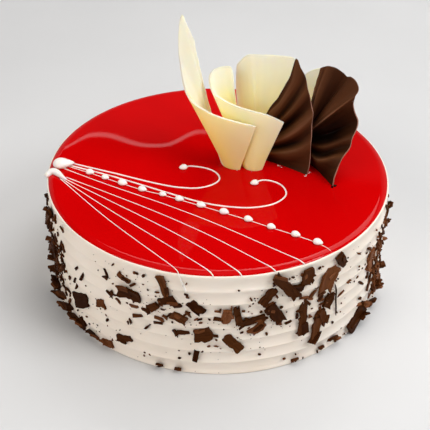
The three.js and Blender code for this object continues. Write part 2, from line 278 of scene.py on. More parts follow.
def along(points, share):
    stops = len(points) - 1
    here = min(int(share * stops), stops - 1)
    step = share * stops - here
    path = [2 * points[0] - points[1], *points, 2 * points[-1] - points[-2]]
    a, b, c, d = path[here:here + 4]
    back, mid, on = (max(np.linalg.norm(q - p), 1e-6) ** 0.5 for p, q in ((a, b), (b, c), (c, d)))
    leave = ((b - a) / back - (c - a) / (back + mid) + (c - b) / mid) * mid
    arrive = ((c - b) / mid - (d - b) / (mid + on) + (d - c) / on) * mid
    square = 3 * (c - b) - 2 * leave - arrive
    cube = 2 * (b - c) + leave + arrive
    return b + leave * step + square * step**2 + cube * step**3


def points_of(rows):
    return [np.array(row, float) for row in rows]


print("half way from 0 to 2:", along(points_of([[0], [1], [2]]), 0.5))

# %% [markdown]
# ## Cream coat
# Whipped cream covers the side. The comb left seven shallow hollows with a crisp ridge between each two,
# and a plain band under the lip. A section that is spun about the middle gives the whole coat. A real
# comb shakes a little and the cream gives way, so every point is then moved: the ridges wander up and
# down, the hollows get deeper and shallower and are half wiped away at the front left, and the lip is
# never quite level.

# %% Sizes of the coat
CAKE_RADIUS = 106.0
COMB_BANDS = 7
COMB_PITCH = 8.8
COMB_DEPTH = 1.0
BAND_ROWS = [0.04, 0.12, 0.24, 0.4, 0.6, 0.76, 0.88, 0.96, 1]
COAT_STEPS = 400
COAT_FOOT = [(0, 0), (60, 0), (100, 0), (105.2, 0), (105.8, 0.4), (106, 1.2)]
COAT_LIP = [
    (105.5, 62.5), (105.1, 63.8), (104.9, 65.6), (105.0, 67.6), (105.3, 69.4), (105.55, 70.6),
    (105.65, 71.4), (105.55, 72.0), (105.2, 72.4), (104.7, 72.5), (104.0, 72.2),
]
COAT_TOP = [(100, 71.8), (60, 71.8), (0, 71.8)]


def coat_section():
    combed = []
    for band in range(COMB_BANDS):
        for share in BAND_ROWS:
            height = (band + share) * COMB_PITCH
            if height > COAT_FOOT[-1][1]:
                hollow = COMB_DEPTH * (1 - (2 * share - 1) ** 2)
                combed.append((CAKE_RADIUS - hollow, height))
    return COAT_FOOT + combed + COAT_LIP + COAT_TOP


print("coat section:", len(coat_section()), "points")

# %% Spin the coat


def turned(section, steps):
    bm = bmesh.new()
    points = [bm.verts.new((radius, 0, height)) for radius, height in section]
    edges = [bm.edges.new(pair) for pair in zip(points, points[1:])]
    full = {"angle": 2 * math.pi, "steps": steps, "use_merge": True}
    bmesh.ops.spin(bm, geom=points + edges, cent=(0, 0, 0), axis=(0, 0, 1), **full)
    bmesh.ops.remove_doubles(bm, verts=bm.verts, dist=0.001)
    bmesh.ops.recalc_face_normals(bm, faces=bm.faces)
    return bm


def ease(low, high, value):
    share = min(max((value - low) / (high - low), 0), 1)
    return share * share * (3 - 2 * share)


def comb_wander(angle, height):
    hold = ease(1, 9, height) * (1 - ease(61, 71, height))
    slow = 0.55 * math.sin(2 * angle + 0.9) + 0.3 * math.sin(5 * angle + height / 11)
    return hold * (slow + 0.5 * noise.noise((3 * math.sin(angle), 3 * math.cos(angle), height / 14)))


coat = turned(coat_section(), COAT_STEPS)
print("coat points:", len(coat.verts))

# %% Shake the comb
SIDE_START = 103
PATCH_SHARE = 0.45
WIPED_SHARE = 0.5
SMEAR_DEPTH = 0.09
LIP_RISE = 0.2

for vert in coat.verts:
    radius = math.hypot(vert.co.x, vert.co.y)
    if radius < SIDE_START:
        continue
    angle = math.atan2(vert.co.x, -vert.co.y)
    around = Vector((math.sin(angle), -math.cos(angle), 0))
    patch = noise.noise((2.2 * around.x, 2.2 * around.y, vert.co.z / 9))
    smear = noise.noise((9 * around.x, 9 * around.y, vert.co.z / 2.2))
    wiped = ease(-80, -60, math.degrees(angle)) * (1 - ease(-40, -5, math.degrees(angle)))
    depth = (1 + PATCH_SHARE * patch) * (1 - WIPED_SHARE * wiped * (1 - ease(64, 70, vert.co.z)))
    hollow = (CAKE_RADIUS - radius) * depth - SMEAR_DEPTH * smear * ease(2, 5, vert.co.z)
    lip = LIP_RISE * noise.noise((7 * around.x, 7 * around.y, 3)) * ease(68, 72, vert.co.z)
    rise = comb_wander(angle, vert.co.z) + lip
    vert.co = around * (CAKE_RADIUS - hollow) + Vector((0, 0, vert.co.z + rise))
print("highest point of the coat:", round(max(vert.co.z for vert in coat.verts), 2), "mm")

# %% [markdown]
# ### Cream finish
# Whipped cream is a warm white with a soft glow, because light goes a little way into it. A Principled
# shader with some subsurface gives that glow. The comb also left faint level streaks, which a noise that
# is stretched round the cake adds as a shallow bump and as a change of gloss. A slow noise varies the
# tone, so that the coat isn't the same all over.

# %% Cream finish
CREAM_TONES = [(0.3, (0.82, 0.717, 0.613)), (0.7, (0.86, 0.766, 0.672))]


def cream_finish():
    finish, tree, shader = new_finish("whipped_cream")
    place = coordinates(tree)
    streaks = grain(tree, place, (45, 45, 900), 4)
    clouds = grain(tree, place, (30, 30, 30), 2)
    tone = ramp(tree, clouds, CREAM_TONES)
    join(tree, shader, {"Base Color": tone, "Roughness": between(tree, streaks, 0.42, 0.6)})
    join(tree, shader, {"Normal": relief(tree, streaks, 0.35, 0.25)})
    join(tree, shader, {"Subsurface Weight": 0.2, "Subsurface Scale": 0.0012, "Specular IOR Level": 0.3})
    shader.inputs["Subsurface Radius"].default_value = (1, 0.7, 0.5)
    return finish


set_in_place(coat, "cream_coat", ["cake_body"], "cream", cream_finish())

# %% [markdown]
# ## Mirror glaze
# The red glaze was poured on warm. It ran to the edge, set there as a gently rounded shoulder just
# inside the lip of cream, and kept a very slight swell on the left, which bends what is mirrored in it.
# It is spun like the coat, with rings close together where it turns over, and then raised by the swell.

# %% Sizes of the glaze
GLAZE_RADIUS = 104.6
GLAZE_TOP = 74.0
GLAZE_FOOT = 72.73
GLAZE_ROUNDING = 4.0
GLAZE_STEPS = 288
SHOULDER_START = GLAZE_RADIUS - GLAZE_ROUNDING
SHOULDER_ROWS = 18
SHOULDER_CURVE = 2.6
RING_GAP = 3.0
SWELL_LEAN = 0.007
EDGE_LEAN = 0.0105
SWELL_REACH = 30.0


def shoulder_height(radius):
    over = min(max((radius - SHOULDER_START) / GLAZE_ROUNDING, 0), 1)
    return GLAZE_TOP - (GLAZE_TOP - GLAZE_FOOT) * over**SHOULDER_CURVE


def swell(x, y):
    lean = SWELL_LEAN * (ease(-36, -12, x) - ease(-80, -42, x)) - EDGE_LEAN * ease(84, 106, -x)
    return lean * SWELL_REACH * math.tanh((y - SWELL_REACH) / SWELL_REACH)


def glaze_height(x, y):
    height = shoulder_height(math.hypot(x, y))
    return height + swell(x, y) * (height - GLAZE_FOOT) / (GLAZE_TOP - GLAZE_FOOT)


print("glaze height on the left:", round(glaze_height(-50, 60), 3), "mm")

# %% Spin the glaze
GLAZE_UNDERSIDE = [(0, 71.6), (100, 71.6), (104.3, 71.8), (104.7, 72.1), (104.75, 72.45)]

section = list(GLAZE_UNDERSIDE)
for row in range(SHOULDER_ROWS + 1):
    radius = SHOULDER_START + GLAZE_ROUNDING * (1 - row / SHOULDER_ROWS)
    section.append((radius, shoulder_height(radius)))
rings = int(SHOULDER_START / RING_GAP)
section += [(SHOULDER_START * (rings - ring) / rings, GLAZE_TOP) for ring in range(1, rings + 1)]
glaze = turned(section, GLAZE_STEPS)
for vert in glaze.verts:
    if vert.co.z > GLAZE_FOOT:
        vert.co.z = glaze_height(vert.co.x, vert.co.y)
print("glaze rings:", len(section))

# %% [markdown]
# ### Glaze finish
# The glaze is a clear red gel over a red base: a deep even colour under a mirror. The base colour holds
# nearly no green or blue, or the red turns to pink under white lamps. A very low roughness gives the
# mirror, and slow noise keeps the colour and the gloss from being the same all over. The shoulder has a
# clear coat as well, which lets the rim catch the lamps.

# %% Glaze finish
GLAZE_TONES = [(0.3, (0.485, 0.0003, 0.0007)), (0.7, (0.53, 0.0005, 0.0011))]
RIM_COAT = 0.32
COAT_START = (SHOULDER_START - 0.3) * MM
COAT_FULL = (SHOULDER_START + 0.4) * MM


def glaze_finish():
    finish, tree, shader = new_finish("red_mirror_glaze")
    place = coordinates(tree)
    cloud = grain(tree, place, (18, 18, 18), 2)
    tone = ramp(tree, cloud, GLAZE_TONES)
    join(tree, shader, {"Base Color": tone, "Roughness": between(tree, cloud, 0.01, 0.018)})
    join(tree, shader, {"IOR": 1.42, "Specular IOR Level": 0.06, "Coat Roughness": 0.03, "Coat IOR": 1.45})
    flat = node(tree, "ShaderNodeVectorMath", {0: place, 1: (1, 1, 0)}, operation="MULTIPLY")
    radius = node(tree, "ShaderNodeVectorMath", {0: flat.outputs["Vector"]}, operation="LENGTH")
    wet = share_of(tree, radius.outputs["Value"], COAT_START, COAT_FULL, RIM_COAT)
    join(tree, shader, {"Coat Weight": wet})
    return finish


set_in_place(glaze, "mirror_glaze", ["glaze"], "red_glaze", glaze_finish())

# %% [markdown]
# ## Piped icing
# White icing springs from two drops on the left. Two strokes end in scrolls, five run straight over the
# edge, one of them a good way down the cream, and one carries a row of beads with small tails. A stroke
# could be a curve with a round bevel. Here a ring of points is extruded from step to step, turned and
# resized on the way, which leaves a plain closed mesh. The beads are balls that are drawn out on one
# side and flattened underneath.

# %% Rope of icing
ROPE_SIDES = 10
ROPE_STEP = 1.3
PATH_SAMPLES = 600
TIP_SHARE = 0.3


def rope(bm, path, widths):
    path = [Vector(point) for point in path]
    ways = [(b - a).normalized() for a, b in zip(path, path[1:])]
    ways.append(ways[-1])
    first = len(bm.edges)
    start = bmesh.ops.create_circle(bm, cap_ends=True, segments=ROPE_SIDES, radius=widths[0] / 2)
    ring = start["verts"]
    upright = Vector((0, 0, 1)).rotation_difference(ways[0]).to_matrix()
    bmesh.ops.rotate(bm, verts=ring, cent=(0, 0, 0), matrix=upright)
    bmesh.ops.translate(bm, verts=ring, vec=path[0])
    bm.edges.ensure_lookup_table()
    edges = bm.edges[first:]
    for i in range(1, len(path)):
        grown = bmesh.ops.extrude_edge_only(bm, edges=edges)["geom"]
        ring = [item for item in grown if isinstance(item, bmesh.types.BMVert)]
        edges = [item for item in grown if isinstance(item, bmesh.types.BMEdge) and item.is_boundary]
        turn = ways[i - 1].rotation_difference(ways[i]).to_matrix()
        for vert in ring:
            vert.co = path[i] + turn @ ((vert.co - path[i - 1]) * (widths[i] / widths[i - 1]))
    bmesh.ops.contextual_create(bm, geom=edges)


def even_path(points, step):
    fine = np.array([along(points, i / PATH_SAMPLES) for i in range(PATH_SAMPLES + 1)])
    run = np.concatenate([[0], np.cumsum(np.linalg.norm(np.diff(fine, axis=0), axis=1))])
    stops = np.linspace(0, run[-1], max(int(run[-1] / step), 3) + 1)
    return np.stack([np.interp(stops, run, fine[:, axis]) for axis in range(fine.shape[1])], axis=1)


def taper(tip, reach):
    return [tip * TIP_SHARE, *[tip + (1 - tip) * i / reach for i in range(1, reach)]]


def tapered(count, width, start=1.0, end=1.0, reach=4):
    middle = [1.0] * (count - 2 * reach)
    shares = taper(start, reach) + middle + taper(end, reach)[::-1]
    return [width * share for share in shares]


print("rope:", ROPE_SIDES, "sides, a ring every", ROPE_STEP, "mm")

# %% Strokes
LINE_WIDTH = 0.46
SCROLL_WIDTH = 0.98
SCROLLS = [
    [[-94, 3.6], [-66.5, -7.1], [-38, -18.8], [-24.8, -22.6], [-11.7, -23], [-2.5, -18.6], [1, -12.9],
     [-1.1, -6], [-7.4, -1.1], [-18.6, 0.8], [-21.3, -1.4]],
    [[-94, 0.8], [-66.2, -11], [-10.4, -37.7], [4.7, -41.9], [19.6, -42.8], [31.8, -39.4], [38.8, -33.2],
     [41.1, -27.2], [38.7, -19], [32.7, -14.4], [26.5, -13.8], [22.5, -17.4]],
]
LINES = [
    [[-97, -2.5], [-65, -21.6], [-10, -53.1], [47, -92.9]],
    [[-93, -13], [-64, -30.5], [-10, -66], [31, -99.4]],
    [[-94.5, -14], [-63.5, -37.8], [-9.6, -80.8], [12.8, -103.3]],
    [[-95.5, -14.5], [-62.8, -47], [-9.2, -97], [-2.4, -104]],
    [[-96.5, -14.5], [-61.8, -57.6], [-21, -102]],
]
BEADS = [
    [-79, -8], [-69, -13.5], [-58, -19.5], [-45.5, -26], [-33, -31], [-23, -35.5],
    [-10, -41.5], [3.5, -48], [17.5, -55], [30.5, -62], [44, -69], [56, -76],
]
BEAD_LINE = [[-95, 0], *BEADS, [63.5, -82.5]]
SHORT_DRIP = [(0.1, 104.5, 73.2), (0.2, 105.1, 73.0), (0.3, 105.6, 72.5)]
LONG_DRIP = [(0.1, 104.6, 73.2), (0.3, 105.5, 72.7), (0.6, 105.9, 71.2), (1.3, 105.5, 67.4),
             (2.0, 105.5, 64.0), (2.6, 106.1, 60.8)]
DRIPS = [SHORT_DRIP, SHORT_DRIP, SHORT_DRIP, SHORT_DRIP, LONG_DRIP]
DRIP_ENDS = [1.7, 1.7, 1.7, 1.7, 3.2]
LAID_SHARE = 0.15


def lay(points, width):
    plan = even_path(points_of(points), ROPE_STEP)
    return [(x, y, glaze_height(x, y) + LAID_SHARE * width) for x, y in plan]


def over_edge(end, drip):
    angle = math.degrees(math.atan2(end[0], -end[1]))
    rows = []
    for turn, radius, height in drip:
        around = math.radians(angle + turn)
        rows.append((radius * math.sin(around), -radius * math.cos(around), height))
    return rows


print("scrolls:", len(SCROLLS), "lines:", len(LINES), "beads:", len(BEADS))

# %% Lay the strokes
icing = bmesh.new()
for points in SCROLLS:
    path = lay(points, SCROLL_WIDTH)
    rope(icing, path, tapered(len(path), SCROLL_WIDTH, 0.8, 1.1))
for points, drip, end in zip(LINES, DRIPS, DRIP_ENDS):
    path = lay(points, LINE_WIDTH)
    path = even_path(points_of([*path[:-1], *over_edge(path[-1], drip)]), ROPE_STEP)
    rope(icing, path, tapered(len(path), LINE_WIDTH, 1.5, end, 10))
path = lay(BEAD_LINE, LINE_WIDTH)
rope(icing, path, tapered(len(path), LINE_WIDTH, 1.3, 0.4))
print("strokes laid:", len(SCROLLS) + len(LINES) + 1)

# %% Beads and drops
BEAD_DIAMETER = 4.8
BEAD_SIZES = [1.02, 0.9, 1.12, 1.0, 0.84, 1.0, 1.04, 1.06, 1.0, 0.95, 1.0, 1.05]
BEAD_SLIMNESS = 0.95
BEAD_TURN = -27
BEAD_TAIL = 0.18
SCROLL_DROP = {"length": 4.9, "width": 4.4, "turn": 200, "tail": 0.1}
UPPER_DROP = {"length": 9.6, "width": 9.0, "turn": 8, "tail": 0.4}
UPPER_DROP_AT = (-97.6, -0.9)


def drop(bm, at, length, width, turn, tail):
    ball = bmesh.ops.create_icosphere(bm, subdivisions=3, radius=0.5)["verts"]
    for vert in ball:
        out = max(vert.co.x, 0) * 2
        slim = 1 - 0.5 * tail * out**2
        vert.co = Vector((vert.co.x + tail * out**3, vert.co.y * slim, vert.co.z * slim))
        if vert.co.z < 0:
            vert.co.z *= 0.7
    bmesh.ops.scale(bm, vec=(length, width, width * 0.78), verts=ball)
    turned_by = Matrix.Rotation(math.radians(turn), 3, "Z")
    bmesh.ops.rotate(bm, verts=ball, cent=(0, 0, 0), matrix=turned_by)
    bmesh.ops.translate(bm, verts=ball, vec=(*at, glaze_height(*at) + width * 0.2))


for at, size in zip(BEADS, BEAD_SIZES):
    length = BEAD_DIAMETER * size
    drop(icing, at, length, length * BEAD_SLIMNESS, BEAD_TURN, BEAD_TAIL)
for points in SCROLLS:
    drop(icing, points[-1], **SCROLL_DROP)
drop(icing, UPPER_DROP_AT, **UPPER_DROP)
print("drops:", len(BEADS) + len(SCROLLS) + 1)

# %% Lower drop
LOWER_DROP = [
    [-105.4, -11.6], [-104.4, -9.9], [-102.3, -8.6], [-100.1, -8.9], [-97.6, -11.2], [-95, -14.2],
    [-92, -17],
]
LOWER_WIDTHS = [2.4, 3.6, 4.2, 4.4, 4.4, 4.3, 4.1, 3.8, 3.4, 3.0, 2.5, 2.0, 1.5, 1.0]
LOWER_LIFT = 0.6

path = [(x, y, z + LOWER_LIFT) for x, y, z in lay(LOWER_DROP, 3)]
stops = np.linspace(0, 1, len(LOWER_WIDTHS))
widths = np.interp(np.linspace(0, 1, len(path)), stops, LOWER_WIDTHS)
rope(icing, path, list(widths))
print("lower drop:", len(path), "rings")

# %% [markdown]
# ### Icing finish
# The icing is whiter than the cream and a little shiny, with a soft depth in the beads. A fine grain
# breaks up the shine.

# %% Icing finish
ICING_TONES = [(0.3, (0.84, 0.76, 0.71)), (0.7, (0.89, 0.83, 0.79))]


def icing_finish():
    finish, tree, shader = new_finish("white_icing")
    fine = grain(tree, coordinates(tree), (400, 400, 400))
    tone = ramp(tree, fine, ICING_TONES)
    join(tree, shader, {"Base Color": tone, "Roughness": between(tree, fine, 0.28, 0.42)})
    join(tree, shader, {"Normal": relief(tree, fine, 0.2, 0.1)})
    join(tree, shader, {"Subsurface Weight": 0.2, "Subsurface Scale": 0.001})
    return finish


ICING = icing_finish()
bmesh.ops.recalc_face_normals(icing, faces=icing.faces)
set_in_place(icing, "piped_icing", ["glaze"], "cream", ICING)

# %% [markdown]
# ## Chocolate curls
# Chocolate was spread thin, and peeled off and rolled just before it set. Each curl is one bent sheet
# that rises from an arc in the glaze to a rim that sweeps round like an open cone. A flat grid with its
# own u and v is the natural start: every point of it moves to its place between foot and rim, and a
# Solidify and a Bevel modifier give it a wall with slightly worn edges.

# %% Sheet of chocolate
CURL_THICKNESS = 1.1
FAN_THICKNESS = 0.8
FOOT_SINK = 0.9
FOOT_REACH = 8
BORDER = 1e-4
SIDE_MARK = 0.4
WORN_SHARE = 0.16
WORN_ANGLE = 50


def uneven(bite, u, v):
    side = 0.6 + noise.noise((11 * v, 3.7, 0)) + 0.6 * noise.noise((31 * v, 1.3, 0))
    top = 0.6 + noise.noise((13 * u, 8.2, 0)) + 0.6 * noise.noise((41 * u, 5.1, 0))
    return u - bite * side * ease(0.9, 1, u), v - 0.6 * bite * top * ease(0.9, 1, v)


def sheet(surface, name, solid, slot, finish, thickness, cells, shade, bite=0.006):
    bm = bmesh.new()
    bm.loops.layers.uv.new("pull")
    edge = bm.verts.layers.float.new("edge")
    painted_light = bm.verts.layers.float.new("painted_light")
    bmesh.ops.create_grid(bm, x_segments=cells[0], y_segments=cells[1], size=0.5, calc_uvs=True)
    for vert in bm.verts:
        u, v = vert.co.x + 0.5, vert.co.y + 0.5
        on_side_edge = min(u, 1 - u) < BORDER
        vert[edge] = 1 if v > 1 - BORDER else SIDE_MARK * on_side_edge
        # Painted light: the shade function gives each point the light or shade that its finish paints on it
        vert[painted_light] = shade(u, v)
        vert.co = surface(*uneven(bite, u, v))
        vert.co.z -= FOOT_SINK * (1 - ease(GLAZE_TOP, GLAZE_TOP + FOOT_REACH, vert.co.z))
    piece = set_in_place(bm, name, [solid], slot, finish)
    wall = piece.modifiers.new("wall", "SOLIDIFY")
    wall.thickness = thickness * MM
    wall.offset = 0
    worn = piece.modifiers.new("worn_edge", "BEVEL")
    worn.width = WORN_SHARE * thickness * MM
    worn.segments = 2
    worn.limit_method = "ANGLE"
    worn.angle_limit = math.radians(WORN_ANGLE)


print("sheets: curls", CURL_THICKNESS, "mm, fans", FAN_THICKNESS, "mm")

# %% Curl surface


def curl(centre, radius, start, end, rim, belly):
    rim = points_of(rim)

    def surface(u, v):
        turn = math.radians(start + (end - start) * u)
        x, y = centre[0] + radius * math.cos(turn), centre[1] + radius * math.sin(turn)
        foot = np.array((x, y, GLAZE_TOP))
        slack = 4 * belly * v * (1 - v) * ease(0.72, 0.88, u)
        return foot + (along(rim, u) - foot) * v - np.array((slack, 0, 0))

    return surface


print("half way up a curl:", curl((0, 0), 9, 0, -90, [[20, 0, 110], [0, -20, 110]], 0)(0.5, 0.5))

# %% [markdown]
# ### White chocolate finish
# White chocolate is a pale butter yellow that lets light through, so it glows where the lamp is behind
# it, and low down it catches light bounced from the red glaze. That glow and bounce light are painted
# into the colour: an attribute on the points paints deep yellow low down and inside a curl, and ivory
# towards the rim, because the shader's own glow is too even in so thin a wall. Faint streaks follow the
# way that it was pulled, which the sheet's own UV map gives. The cut edge is painted greyer than the
# face, as painted shade that tones down the glow of the thin rim: a second attribute, 1 on the rim and
# less on the two sides, marks it.

# %% Helpers for sheets


def pulled(tree, across, down):
    return grain(tree, coordinates(tree, "UV"), (across, down, 1), 4)


def streaked(tree, streaks, swing):
    return reckon(tree, "ADD", painted(tree, "painted_light"), between(tree, streaks, -swing, swing))


def mixed(tree, factor, first, second):
    made = node(tree, "ShaderNodeMix", data_type="RGBA")
    tree.links.new(factor, made.inputs[0])
    for place, colour in ((6, first), (7, second)):
        if isinstance(colour, bpy.types.NodeSocket):
            tree.links.new(colour, made.inputs[place])
        else:
            made.inputs[place].default_value = (*colour, 1)
    return made.outputs[2]


print("sheet helpers ready")

# %% White chocolate finish
# Painted glow and bounce light: the lower stops are deep yellow and orange that stand for light through the
# sheet and bounced from the red glaze; the upper stops are the butter yellow and ivory of the chocolate
# itself
WHITE_TONES_AND_PAINTED_GLOW = [
    (0, (0.97, 0.62, 0.21)), (0.25, (0.97, 0.75, 0.24)), (0.6, (0.96, 0.83, 0.45)), (1, (0.925, 0.87, 0.67)),
]
# Painted shade: the rim is made greyer than the face to tone down the glow of the thin edge
WHITE_EDGE_SHADE = (0.68, 0.64, 0.5)


def white_finish():
    finish, tree, shader = new_finish("white_chocolate")
    streaks = pulled(tree, 9, 1.5)
    face = ramp(tree, streaked(tree, streaks, 0.06), WHITE_TONES_AND_PAINTED_GLOW)
    tone = mixed(tree, share_of(tree, painted(tree, "edge"), 0.3, 1), face, WHITE_EDGE_SHADE)
    join(tree, shader, {"Base Color": tone, "Roughness": between(tree, streaks, 0.36, 0.5)})
    join(tree, shader, {"Normal": relief(tree, streaks, 0.06, 0.3)})
    join(tree, shader, {"Subsurface Weight": 0.85, "Subsurface Scale": 0.004, "Specular IOR Level": 0.2})
    shader.inputs["Subsurface Radius"].default_value = (1, 0.8, 0.5)
    return finish


WHITE = white_finish()
print(WHITE.name, "made of", len(WHITE.node_tree.nodes), "nodes")

# %% Two curls
tall = curl(
    (12, 8), 9.5, -82, -212,
    [[22, -8, 109], [9, -9, 113], [-5, -5, 116], [-16, 3, 119], [-20.5, 9, 124], [-24, 16, 140],
     [-25, 19, 151.5], [-22.7, 22, 167], [-18.9, 21.5, 159.6], [-14.9, 20.7, 150.8]],
    1.2,
)
short = curl(
    (22.5, 3.4), 6.2, -45, -253,
    [[39, -3, 109], [29, -4, 114.5], [19, -4, 117.5], [9.5, -1, 119], [2, 4, 120.5], [-3.5, 9, 122],
     [-6, 15, 128.5], [-4, 19, 132], [2, 21.6, 133.2], [6.7, 21, 133.4], [7.5, 20.8, 132.4], [9, 18.6, 117]],
    1.8,
)


# Painted glow and bounce light: each shade gives a point's place on the white ramp, low for the deep yellow
# that stands for light through the sheet and bounced from the red glaze, high for ivory. The tall curl is
# painted deepest low on its front and ivory over the blade; the short one is painted deep inside, low down.
def tall_shade(u, v):
    front = 0.42 - 0.3 * ease(0.02, 0.4, u) + 0.35 * v**1.6
    return front + (0.8 + 0.2 * v - front) * ease(0.4, 0.5, u)


def short_shade(u, v):
    front = 0.42 + 0.45 * v**1.4
    inside = 0.22 + 0.7 * ease(0.5, 0.95, v)
    return front + (inside - front) * ease(0.34, 0.46, u)


CURL_SHEET = ("white_chocolate", WHITE, CURL_THICKNESS)
sheet(tall, "tall_curl", "white_curl_tall", *CURL_SHEET, (120, 44), tall_shade, 0.02)
sheet(short, "short_curl", "white_curl_short", *CURL_SHEET, (132, 30), short_shade)

# %% [markdown]
# ## Chocolate fans
# A fan is a sheet that was pushed together on one side while it was soft, so folds run out from the
# gather and fade at the far edge. It is made like a curl, on a grid, with a wave added across the folds.
# The wave has its crests at given places on the edge, because the real folds are not evenly spaced, and
# on the dark fans the folds bow a little on their way out from the gather.

# %% Fan surface


def fold_wave(u, folds, softness):
    places, heights = zip(*folds)
    taps = [u + softness * step for step in (-1, -0.5, 0, 0.5, 1)]
    return float(np.interp(taps, places, heights).mean())


def straight(u):
    return u


def unbowed(u, v):
    return 0


def fan(gather, edge, folds, softness, depth, fade, pinch=straight, bow=unbowed):
    low, high = points_of(gather)
    edge = points_of(edge)
    facing = np.cross(along(edge, 1) - along(edge, 0), along(edge, 0.5) - low)
    facing = -np.sign(facing[1]) * facing / np.linalg.norm(facing)

    def surface(u, v):
        held = low + (high - low) * pinch(u)
        flat = held + (along(edge, u) - held) * v
        wave = fold_wave(u + bow(u, v), folds, softness)
        return flat + facing * depth * v * (1 - fade * v * v) * wave

    return surface


print("a wave half way up:", fold_wave(0.5, [(0, 0), (1, 1)], 0.1))

# %% White fans
pale = fan(
    [[21, 17, 74], [28, 16, 74]],
    [[12.6, 27, 94.5], [10.8, 31, 114], [10.8, 31.5, 128.2], [11.1, 31.3, 129.8], [14.2, 29.7, 134.8],
     [17.4, 28.3, 138], [21.5, 27.5, 138.6], [29, 27.3, 138.6], [37, 27.6, 138], [46, 27, 136.2],
     [50, 26, 122]],
    [(0, 0), (0.5, 0), (0.55, 0.4), (0.6, -0.4), (0.66, 0.4), (0.74, -0.3), (0.82, 0.3), (0.9, -0.1),
     (1, 0)],
    0.02, 1.6, 0.6,
)
pale_behind = fan(
    [[56, 24, 74], [61, 23, 74]],
    [[50, 27, 105], [51, 28, 122], [54, 28, 126.5], [62, 28, 129.5], [69, 27, 126], [72, 26, 112]],
    [(0, 0.5), (0.2, -0.5), (0.4, 0.6), (0.7, -0.4), (1, 0.3)], 0.05, 2, 0.6,
)


# Painted glow and bounce light on the pale fans: deep yellow at the gather, ivory at the outer edge
def pale_shade(u, v):
    return 0.25 + 0.7 * v**1.2


PALE_SHEET = ("white_chocolate", WHITE, FAN_THICKNESS)
sheet(pale, "pale_fan", "white_fan", *PALE_SHEET, (110, 30), pale_shade)
sheet(pale_behind, "pale_fan_behind", "white_fan_back", *PALE_SHEET, (70, 26), pale_shade)

# %% [markdown]
# ### Dark chocolate finish
# Dark chocolate has a satin face, faint streaks along the pull, and a paler line on the lower part of the
# outer edge, where it was rubbed. The folds are shallower than the real ones, so their light is painted:
# broad soft painted highlights on the crests and near-black painted shade in the hollows. The painted
# light of each point picks its place on one ramp, and the edge mark, which fades towards the top of the
# fan, adds the rubbed line.

# %% Dark chocolate finish
# Painted highlight and painted shade: the lowest stops are near-black painted shade for the hollows, the
# highest are painted highlights for the crests, and the middle is the brown of the chocolate
DARK_TONES_AND_FOLD_LIGHT = [
    (0.05, (0.0025, 0.0008, 0.0003)), (0.35, (0.030, 0.0095, 0.0033)), (0.65, (0.088, 0.032, 0.012)),
    (0.85, (0.17, 0.075, 0.037)), (1, (0.29, 0.16, 0.1)),
]
RUBBED_EDGE = (0.3, 0.15, 0.105)
RUBBED_FADE = (0.75, 0.5)


def dark_finish():
    finish, tree, shader = new_finish("dark_chocolate")
    streaks = pulled(tree, 30, 2)
    face = ramp(tree, streaked(tree, streaks, 0.08), DARK_TONES_AND_FOLD_LIGHT)
    spread = node(tree, "ShaderNodeSeparateXYZ", {"Vector": coordinates(tree, "UV")})
    low = share_of(tree, spread.outputs["X"], *RUBBED_FADE)
    rubbed = reckon(tree, "MULTIPLY", share_of(tree, painted(tree, "edge"), 0.7, 1), low)
    tone = mixed(tree, rubbed, face, RUBBED_EDGE)
    join(tree, shader, {"Base Color": tone, "Roughness": between(tree, streaks, 0.33, 0.42)})
    join(tree, shader, {"Normal": relief(tree, streaks, 0.1, 0.3), "Specular IOR Level": 0.05})
    return finish


DARK = dark_finish()
print(DARK.name, "made of", len(DARK.node_tree.nodes), "nodes")

# %% Folds of the dark fans
NEAR_FOLDS = [
    (0, 0), (0.12, -0.3), (0.23, 0.9), (0.31, -0.8), (0.4, 0.9), (0.565, -0.9), (0.67, 0.8), (0.745, -0.7),
    (0.84, 0.25), (0.9, 0.12), (1, 0.1),
]
FAR_FOLDS = [
    (0, 0), (0.08, -0.3), (0.15, 0.8), (0.19, -0.5), (0.25, 0.4), (0.35, -1), (0.46, -0.3), (0.515, 1),
    (0.6, 0.5), (0.7, 0), (0.79, -0.7), (0.87, 0.1), (0.93, 0.8), (0.965, 0.1), (1, 0.6),
]


def far_pinch(u):
    return 1 - (1 - min(u / 0.45, 1)) ** 2


def near_bow(u, v):
    return 0.06 * 4 * v * (1 - v)


def far_bow(u, v):
    return 0.065 * 6.75 * v * (1 - v) ** 2 * (1 - ease(0.3, 0.48, u))


print("fold stops:", len(NEAR_FOLDS), "and", len(FAR_FOLDS))

# %% Dark fans
near = fan(
    [[27, 11.5, 74], [23.4, 12.5, 92]],
    [[54.9, -6.9, 74], [56.2, -5.5, 80.4], [56.5, -4, 90.3], [56.5, -3, 96.9], [56.3, -1, 106.2],
     [56.8, 0.5, 113.6], [55.7, 1.5, 117.2], [54.2, 3, 123.1], [52.8, 4.5, 128.3], [50.6, 6, 135.5],
     [48, 7, 140.2], [46.1, 8.5, 144.6], [44.9, 9, 145.6]],
    NEAR_FOLDS, 0.04, 9, 0.95, bow=near_bow,
)
far = fan(
    [[56.5, 8.5, 74], [53, 10, 92]],
    [[69.9, -18.7, 74], [70.2, -18, 79.4], [72.4, -15, 84.7], [75.8, -12, 90.7], [79.3, -9, 96],
     [80.8, -7, 101.1], [83, -4, 107], [82.7, -3, 110.6], [80.7, -1, 115.5], [79.8, 0, 120.4],
     [81.3, 1, 124.6], [83.3, 2, 128.8], [82.5, 2.5, 131.8], [79.9, 3, 135.5], [76.9, 4, 136.6],
     [75.3, 4.5, 136], [72.2, 5, 138.3], [68.5, 6, 141], [65.6, 7, 141.7], [62.7, 7.5, 141.4],
     [59.9, 8, 139.8]],
    FAR_FOLDS, 0.012, 7.5, 0.8, far_pinch, far_bow,
)


def drawn_in(u, v):
    waist = ease(0.3, 0.55, v) * (1 - ease(0.8, 1, v))
    return near(u - 0.1 * ease(0.7, 1, u) * waist, v)


print("tip of the far fan:", np.round(far(0, 1), 1), "mm")
